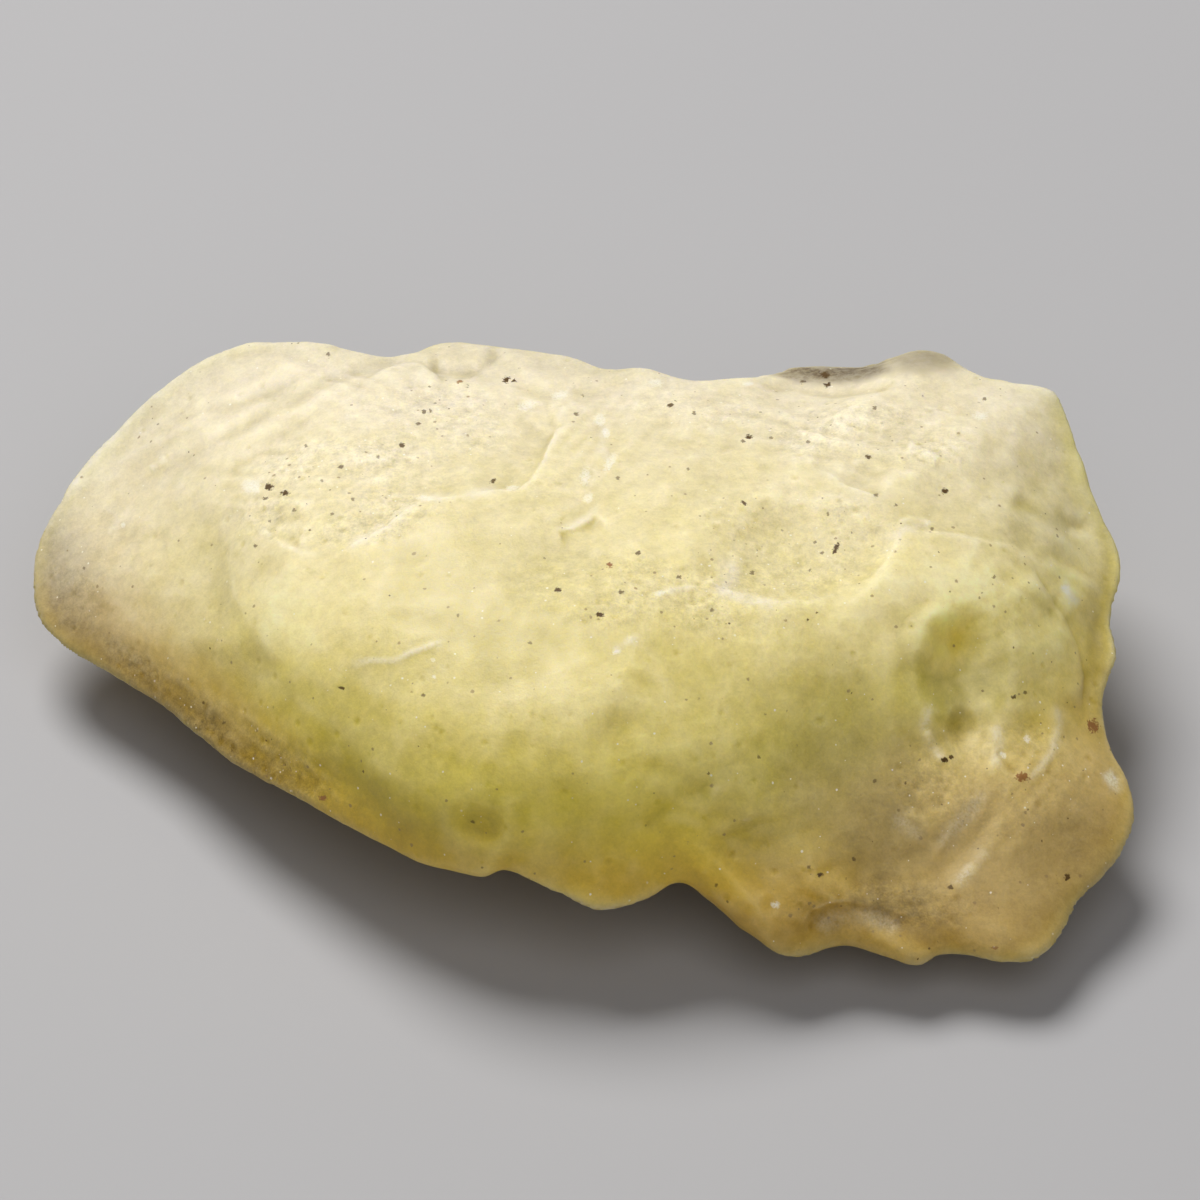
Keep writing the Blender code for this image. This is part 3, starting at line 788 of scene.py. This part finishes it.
def tint(piece):
    """Stores points' frosting and painted sheen, painted light and shade, roughness, weathering and marks.
    """
    mesh = piece.data
    points, normals = points_of(mesh), normals_of(mesh)
    pixels, front = in_photo(points), facing(points, normals)
    rough = roughness_zones(points, pixels, front)
    edges = bulge(mesh, points, normals, EDGE_TURNS)
    slope = blurred(mesh, normals, SLOPE_TURNS)
    slope /= np.linalg.norm(slope, axis=1)[:, None]
    sky = slope @ np.array(FROST_AND_SHEEN_SIDE) / np.linalg.norm(FROST_AND_SHEEN_SIDE)
    mottle = noise_field(points, MOTTLE_SPACING, 11, octaves=2)
    shown = blurred(mesh, front[:, None], BORDER_TURNS)[:, 0]
    wrapped = wrapping(WRAPPED, np.maximum(front, shown))
    arch = front * patched((ARCH,), pixels, 0.05 * mottle, 0.95)
    # Pale lines are partly pale streaks and partly painted highlights, dark lines are painted shade
    lines = front * drawn_lines(pixels)
    pale, dark = np.clip(lines, 0, 1), np.clip(lines, -1, 0)

    # Frosting with painted sheen, and the patches and lines that paint light and shade into it
    frost_and_sheen = frosting(points, shown, sky) + MOTTLE_FROST * mottle + ROUGH_FROST * rough
    frost_and_sheen += EDGE_FROST * edges * wrapping(WRAPPED_EDGES, front)
    frost_and_sheen -= front * patched(CLEAR_AND_SHADE_PATCHES, pixels, 0.06 * mottle, 0.75)
    frost_and_sheen += front * patched(FROST_AND_LIGHT_PATCHES, pixels, 0.2 * mottle, 0.3)
    frost_and_sheen += pale * PALE_LINE_FROST + dark * DARK_LINE_FROST - arch
    store(mesh, "frost_and_sheen", np.clip(frost_and_sheen, 0, MOST_FROST))
    store(mesh, "flecks", pale)

    # Painted light and shade: brighter on edges; darker in hollows, along the dark lines, in the arch, near
    # the floor and at the far rim; and the listed patches
    shade = np.clip(1 + EDGE_SHADE * edges, LEAST_EDGE, MOST_EDGE + SHOWN_EDGE * front)
    shade *= (1 + dark) * (1 - arch)
    shade *= shadowed(LOW_SHADE, points[:, 2]) * shadowed(FAR_SHADE, points[:, 1])
    for *patch, change in SHADE_PATCHES:
        strength = patched(((*patch, abs(change)),), pixels, 0.2 * mottle, 0.1)
        shade *= 1 + wrapped * np.sign(change) * strength
    store(mesh, "shade", shade)

    store(mesh, "skin", wrapped * patched(SKIN_PATCHES, pixels, 0.3 * mottle, 0.35))
    store(mesh, "far_rim_brown", far_rim_browning(points, pixels, front))
    # The painted amber glow of light through the low glass, by height
    store(mesh, "amber_glow", smooth_step(*AMBER_RANGE, points[:, 2] / MM))
    store(mesh, "rough", np.clip(rough, 0, 1))
    place_marks(mesh, points, pixels, front, rough)


def place_marks(mesh, points, pixels, front, rough):
    """Stores points' offsets from their nearest mark in its half widths, its kind, strength and number."""
    count = len(points)
    offsets = np.full((count, 3), FAR_OFF)
    nearest = np.full(count, FAR_OFF)
    kinds = np.zeros(count)
    strengths_here = np.zeros(count)
    numbers = np.full(count, NO_NUMBER)
    tree = kdtree.KDTree(count)
    for index, point in enumerate(points):
        tree.insert(point, index)
    tree.balance()

    def place(number, centre, reach, kind, strength, offsets_of):
        indices = np.array([index for _, index, _ in tree.find_range(centre, reach)])
        found = offsets_of(indices)
        gaps = np.linalg.norm(found, axis=1)
        closer = gaps < nearest[indices]
        indices, found, gaps = indices[closer], found[closer], gaps[closer]
        offsets[indices] = found
        nearest[indices] = gaps
        kinds[indices] = kind
        strengths_here[indices] = strength
        numbers[indices] = number

    seen = np.flatnonzero(front > SEEN)
    for number, (x, y, wide, high, turn, kind) in enumerate(MARKS):
        gaps = np.linalg.norm(pixels[seen] - (x, y), axis=1)
        centre = points[seen[gaps.argmin()]]

        def in_pixels(indices):
            flat = turned(pixels[indices] - (x, y), wide, high, turn)
            return np.c_[flat, np.zeros(len(flat))]

        strength = min(1, LEAST_STRENGTH + STRENGTH_OF_SIZE * wide * high)
        if kind == WHITE:
            strength = WHITE_STRENGTH
        reach = max(wide, high) * PIXEL * MARK_REACH + MARK_MARGIN
        place(number, centre, reach, kind, strength, in_pixels)
    number = len(MARKS)
    for kind, many, smallest, largest, likely in SCATTERED:
        strengths = RANDOM.uniform(*SCATTERED_STRENGTHS, many)
        chance = (likely + rough) * (nearest > CLEAR_OF_MARKS)
        centres = RANDOM.choice(count, many, replace=False, p=chance / chance.sum())
        radii = RANDOM.uniform(smallest, largest, many) * MM
        for centre, radius, strength in zip(points[centres], radii, strengths):

            def from_centre(indices):
                return (points[indices] - centre) / radius

            reach = radius * MARK_REACH + SCATTERED_MARGIN
            place(number, centre, reach, kind, strength, from_centre)
            number += 1
    attribute = mesh.attributes.new("mark_offset", "FLOAT_VECTOR", "POINT")
    attribute.data.foreach_set("vector", offsets.ravel().astype(np.float32))
    store(mesh, "mark_kind", kinds)
    store(mesh, "mark_strength", strengths_here)
    store(mesh, "mark_number", numbers)


class Shading:
    """Builds a node material step by step."""

    def __init__(self, name):
        self.material = bpy.data.materials.new(name)
        self.material.use_nodes = True
        self.nodes = self.material.node_tree.nodes
        self.links = self.material.node_tree.links
        self.shader = self.nodes["Principled BSDF"]

    def feed(self, socket, value):
        if isinstance(value, bpy.types.NodeSocket):
            self.links.new(value, socket)
        else:
            socket.default_value = value

    def attribute(self, name, output="Fac"):
        node = self.nodes.new("ShaderNodeAttribute")
        node.attribute_name = name
        return node.outputs[output]

    def math(self, operation, first, second=0.0, third=0.0, clamp=False):
        node = self.nodes.new("ShaderNodeMath")
        node.operation = operation
        node.use_clamp = clamp
        for socket, value in zip(node.inputs, (first, second, third)):
            self.feed(socket, value)
        return node.outputs[0]

    def mix(self, share, first, second):
        node = self.nodes.new("ShaderNodeMix")
        node.data_type = "RGBA"
        self.feed(node.inputs["Factor"], share)
        self.feed(node.inputs["A"], first)
        self.feed(node.inputs["B"], second)
        return node.outputs["Result"]

    def remap(self, value, low, high, to_low=0.0, to_high=1.0):
        node = self.nodes.new("ShaderNodeMapRange")
        for socket, number in zip(node.inputs, (value, low, high, to_low, to_high)):
            self.feed(socket, number)
        return node.outputs[0]

    def noise(self, place, spacing, detail, roughness):
        node = self.nodes.new("ShaderNodeTexNoise")
        self.feed(node.inputs["Vector"], place)
        node.inputs["Scale"].default_value = 1 / spacing
        node.inputs["Detail"].default_value = detail
        node.inputs["Roughness"].default_value = roughness
        return node.outputs["Fac"]

    def scale(self, colour, factor):
        node = self.nodes.new("ShaderNodeVectorMath")
        node.operation = "SCALE"
        self.feed(node.inputs[0], colour)
        self.feed(node.inputs["Scale"], factor)
        return node.outputs["Vector"]

    def specks(self, place, spacing, radius, share, ragged):
        """Small ragged specks, one in each of a share of the cells that are a spacing apart."""
        node = self.nodes.new("ShaderNodeTexVoronoi")
        self.feed(node.inputs["Vector"], place)
        node.inputs["Scale"].default_value = 1 / spacing
        chosen = self.math("LESS_THAN", self.channel(node.outputs["Color"], "Red"), share)
        most = self.math("MULTIPLY", self.channel(node.outputs["Color"], "Green"), radius / spacing)
        uneven = self.math("SUBTRACT", ragged, 0.5)
        distance = self.math("MULTIPLY_ADD", uneven, radius / spacing, node.outputs["Distance"])
        inside = self.math("SUBTRACT", 1.0, self.math("DIVIDE", distance, most))
        return self.math("MULTIPLY", self.math("MULTIPLY", inside, SPECK_CRISPNESS, clamp=True), chosen)

    def channel(self, colour, name):
        node = self.nodes.new("ShaderNodeSeparateColor")
        self.feed(node.inputs[0], colour)
        return node.outputs[name]


def glass_colour(made, place, rough, fine, tiny):
    """Glass colour with frosting, painted sheen, glow, light and shade, skin, far rim brown and specks."""
    cloud = made.math("SUBTRACT", made.noise(place, *CLOUDS), 0.5)
    blotch = made.math("SUBTRACT", made.noise(place, *BLOTCHES), 0.5)
    frost_and_sheen = made.math("MULTIPLY_ADD", cloud, CLOUD_FROST, made.attribute("frost_and_sheen"), clamp=True)
    # The painted amber glow of light through the low glass
    colour = made.mix(made.attribute("amber_glow"), CLEAR_GLASS, PAINTED_AMBER_GLOW)
    colour = made.mix(frost_and_sheen, colour, FROST_AND_SHEEN_CREAM)
    colour = made.mix(made.attribute("skin"), colour, WEATHERED_SKIN)
    patchy = made.math("MULTIPLY", made.attribute("far_rim_brown"), made.remap(fine, *FAR_RIM_BROWN_BY_GRAIN))
    colour = made.mix(patchy, colour, FAR_RIM_BROWN)
    # Blotches of tone, with the painted light and shade
    contrast = made.math("MULTIPLY_ADD", rough, ROUGH_BLOTCHINESS, BLOTCHINESS)
    colour = made.scale(colour, made.math("MULTIPLY_ADD", blotch, contrast, made.attribute("shade")))
    dense = made.remap(rough, *SPECKS_BY_ROUGHNESS)
    brown = made.specks(place, SPECK_SPACING, BROWN_RADIUS, dense, tiny)
    colour = made.mix(made.math("MULTIPLY", brown, BROWN_STRENGTH), colour, BROWN_SPECK)
    # Pale specks: painted sparkles
    pale = made.specks(made.scale(place, PALE_SCALE), SPECK_SPACING, PALE_RADIUS, dense, tiny)
    return made.mix(made.math("MULTIPLY", pale, PALE_STRENGTH), colour, WHITE_CHIP_AND_GLINT)


def marked_colour(made, colour, tiny, granular):
    """A colour with the dark, rusty and white marks over it, the white ones chips and painted glints."""
    length = made.nodes.new("ShaderNodeVectorMath")
    length.operation = "LENGTH"
    made.feed(length.inputs[0], made.attribute("mark_offset", "Vector"))
    uneven = made.math("SUBTRACT", tiny, 0.5)
    ragged = made.math("MULTIPLY_ADD", uneven, MARK_RAGGED, length.outputs["Value"])
    part = made.math("FRACT", made.math("ADD", made.attribute("mark_number"), NEARLY_WHOLE))
    whole = made.math("LESS_THAN", part, 2 * NEARLY_WHOLE)
    marked = made.math("MULTIPLY", made.remap(ragged, *MARK_EDGE), whole)
    marked = made.math("MULTIPLY", marked, made.attribute("mark_strength"))
    kind = made.attribute("mark_kind")
    white = made.math("GREATER_THAN", kind, (RUSTY + WHITE) / 2)
    rusty = made.math("GREATER_THAN", kind, (DARK + RUSTY) / 2)
    marked = made.math("MULTIPLY", marked, made.mix(white, WHOLE, granular))
    grain = made.mix(white, made.mix(rusty, DARK_GRAIN, RUSTY_GRAIN), WHITE_CHIP_AND_GLINT)
    return made.mix(marked, colour, grain)


def lump_material():
    made = Shading("desert_glass")
    shader = made.shader
    place = made.nodes.new("ShaderNodeTexCoord").outputs["Object"]
    fine = made.noise(place, *FINE_GRAIN)
    tiny = made.noise(place, *TINY_GRAIN)
    rough = made.attribute("rough")
    granular = made.remap(tiny, *PALE_BY_GRAIN)
    # Pale lines: partly pale streaks, partly painted highlights
    flecks = made.math("MULTIPLY", made.attribute("flecks"), granular)
    colour = made.mix(flecks, glass_colour(made, place, rough, fine, tiny), PALE_LINE)
    made.feed(shader.inputs["Base Color"], marked_colour(made, colour, tiny, granular))
    dullness = made.math("MULTIPLY_ADD", rough, ROUGH_DULLNESS, made.remap(fine, *DULLNESS_BY_GRAIN))
    made.feed(shader.inputs["Roughness"], dullness)
    bump = made.nodes.new("ShaderNodeBump")
    bump.inputs["Distance"].default_value = BUMP_HEIGHT
    made.feed(bump.inputs["Strength"], made.remap(rough, *BUMP_BY_ROUGHNESS))
    made.feed(bump.inputs["Height"], fine)
    made.feed(shader.inputs["Normal"], bump.outputs["Normal"])
    shader.inputs["IOR"].default_value = GLASS_IOR
    shader.inputs["Subsurface Weight"].default_value = GLASS_LIGHT
    shader.inputs["Subsurface Scale"].default_value = GLASS_DEPTH
    shader.inputs["Subsurface Radius"].default_value = GLASS_REACH
    return made.material


def floor():
    bpy.ops.mesh.primitive_circle_add(vertices=FLOOR_CORNERS, radius=FLOOR_RADIUS, fill_type="NGON")
    plate = bpy.context.object
    plate.name = "floor"
    material = bpy.data.materials.new("floor")
    material.use_nodes = True
    shader = material.node_tree.nodes["Principled BSDF"]
    shader.inputs["Base Color"].default_value = FLOOR_COLOUR
    shader.inputs["Roughness"].default_value = FLOOR_ROUGHNESS
    plate.data.materials.append(material)


def area_light(name, place, size, power, colour):
    data = bpy.data.lights.new(name, "AREA")
    data.shape = "DISK"
    data.size = size
    data.energy = power
    data.color = colour
    lamp = bpy.data.objects.new(name, data)
    lamp.location = place
    lamp.rotation_euler = (Vector(SIGHT_CENTRE) - Vector(place)).to_track_quat("-Z", "Y").to_euler()
    bpy.context.scene.collection.objects.link(lamp)


def studio():
    for name, light in LIGHTS.items():
        area_light(name, *light)
    world = bpy.data.worlds.new("studio")
    bpy.context.scene.world = world
    world.use_nodes = True
    background = world.node_tree.nodes["Background"]
    background.inputs["Color"].default_value = ROOM_COLOUR
    background.inputs["Strength"].default_value = ROOM_STRENGTH


def camera():
    data = bpy.data.cameras.new("camera")
    data.sensor_width = SENSOR_WIDTH
    data.lens = data.sensor_width * SIGHT_DISTANCE / PHOTO_WIDTH
    data.clip_start = NEAR_CLIP
    viewer = bpy.data.objects.new("camera", data)
    viewer.location = eye()
    viewer.rotation_euler = Euler((pi / 2 - SIGHT_ELEVATION, 0, 0))
    bpy.context.scene.collection.objects.link(viewer)
    bpy.context.scene.camera = viewer


bpy.context.scene.view_settings.view_transform = "Standard"
camera()
floor()
studio()
lump = dense_copy(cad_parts["desert_glass"], "glass_lump")
wear(lump)
thin_out(lump)
tint(lump)
lump.data.materials.append(lump_material())
lump.data.shade_smooth()
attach(lump, "root")
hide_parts("desert_glass")
